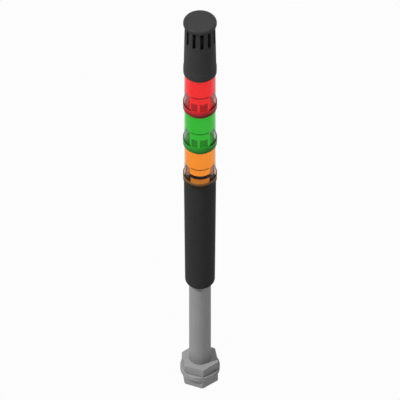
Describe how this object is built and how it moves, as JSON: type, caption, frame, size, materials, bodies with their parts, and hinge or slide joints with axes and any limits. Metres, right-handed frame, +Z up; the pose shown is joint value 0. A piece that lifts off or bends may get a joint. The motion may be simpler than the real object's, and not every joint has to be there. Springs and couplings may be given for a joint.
{
  "type": "stack light",
  "caption": "Slim signal tower on a pole with a two-nut panel clamp, stacked amber, green and red twist-on lights and a slotted sounder on top.",
  "frame": {"origin": "on the tower's axis, at the underside of the lower nut, which is also the pole's lower end", "axes": "+Z up along the pole, -Y to the front, where the light modules' front tongues are; +X to the right seen from the front"},
  "size_m": [0.04, 0.04, 0.5005],
  "materials": {
    "pole_metal": "satin",
    "nut_metal": "dull zinc",
    "washer_metal": "dull zinc",
    "inner_metal": "satin",
    "contact_metal": "bright",
    "black_plastic": "fine satin",
    "cap_plastic": "semi gloss",
    "buzzer_plastic": "matt",
    "inner_plastic": "matt",
    "smoke_plastic": "smoke grey, clear",
    "ivory_plastic": "matt",
    "terminal_plastic": "matt",
    "chip_plastic": "matt",
    "capacitor_sleeve": "gloss",
    "circuit_board": "solder mask",
    "led_board": "white solder mask",
    "led_package": "gloss",
    "seal_rubber": "matt",
    "amber_lens": "clear tinted",
    "green_lens": "clear tinted",
    "red_lens": "clear tinted",
    "amber_diffuser": "translucent",
    "green_diffuser": "translucent",
    "red_diffuser": "translucent"
  },
  "bodies": {
    "mast": {"pole": "pole_metal", "upper_nut": "nut_metal", "upper_washer": "washer_metal", "base_housing": "black_plastic", "pole_collar": "inner_plastic", "ring_nut": "inner_metal", "base_connector": "black_plastic", "base_contact_plate": "inner_plastic", "base_contact_pads": "contact_metal", "base_seal": "seal_rubber", "circuit_board": "circuit_board", "terminal_block": "terminal_plastic", "terminal_screws": "inner_metal", "driver_chips": "chip_plastic", "capacitors": "capacitor_sleeve"},
    "lower_washer": {"lower_washer": "washer_metal"},
    "lower_nut": {"lower_nut": "nut_metal"},
    "amber_module": {"amber_lens": "amber_lens", "amber_connector": "smoke_plastic", "amber_diffuser": "amber_diffuser", "amber_carrier": "amber_diffuser", "amber_led_board": "led_board", "amber_leds": "led_package", "amber_contact_plate": "ivory_plastic", "amber_contact_pads": "contact_metal", "amber_springs": "contact_metal", "amber_seal": "seal_rubber"},
    "green_module": {"green_lens": "green_lens", "green_connector": "smoke_plastic", "green_diffuser": "green_diffuser", "green_carrier": "green_diffuser", "green_led_board": "led_board", "green_leds": "led_package", "green_contact_plate": "ivory_plastic", "green_contact_pads": "contact_metal", "green_springs": "contact_metal", "green_seal": "seal_rubber"},
    "red_module": {"red_lens": "red_lens", "red_connector": "smoke_plastic", "red_diffuser": "red_diffuser", "red_carrier": "red_diffuser", "red_led_board": "led_board", "red_leds": "led_package", "red_contact_plate": "ivory_plastic", "red_contact_pads": "contact_metal", "red_springs": "contact_metal", "red_seal": "seal_rubber"},
    "sounder": {"sounder_housing": "black_plastic", "sounder_carrier": "black_plastic", "sounder_springs": "contact_metal", "sounder_board": "circuit_board", "sounder_element": "buzzer_plastic", "sounder_cap": "cap_plastic"}
  },
  "joints": [
    {"name": "lower_washer_slide", "type": "slide", "parent": "mast", "child": "lower_washer", "axis": [0, 0, -1], "range_m": [0, 0.006]},
    {"name": "lower_nut_turn", "type": "hinge", "parent": "lower_washer", "child": "lower_nut", "pos_m": [0, 0, 0.005], "axis": [0, 0, -1], "range_deg": [0, 1442]},
    {"name": "amber_twist", "type": "hinge", "parent": "mast", "child": "amber_module", "pos_m": [0, 0, 0.281], "axis": [0, 0, 1], "range_deg": [0, 20]},
    {"name": "green_twist", "type": "hinge", "parent": "amber_module", "child": "green_module", "pos_m": [0, 0, 0.331], "axis": [0, 0, 1], "range_deg": [0, 20]},
    {"name": "red_twist", "type": "hinge", "parent": "green_module", "child": "red_module", "pos_m": [0, 0, 0.381], "axis": [0, 0, 1], "range_deg": [0, 20]},
    {"name": "sounder_twist", "type": "hinge", "parent": "red_module", "child": "sounder", "pos_m": [0, 0, 0.431], "axis": [0, 0, 1], "range_deg": [0, 20]}
  ],
  "couplings": [
    {"joint": "lower_nut_turn", "follows": "lower_washer_slide", "rad_per_m": 4188.8}
  ]
}
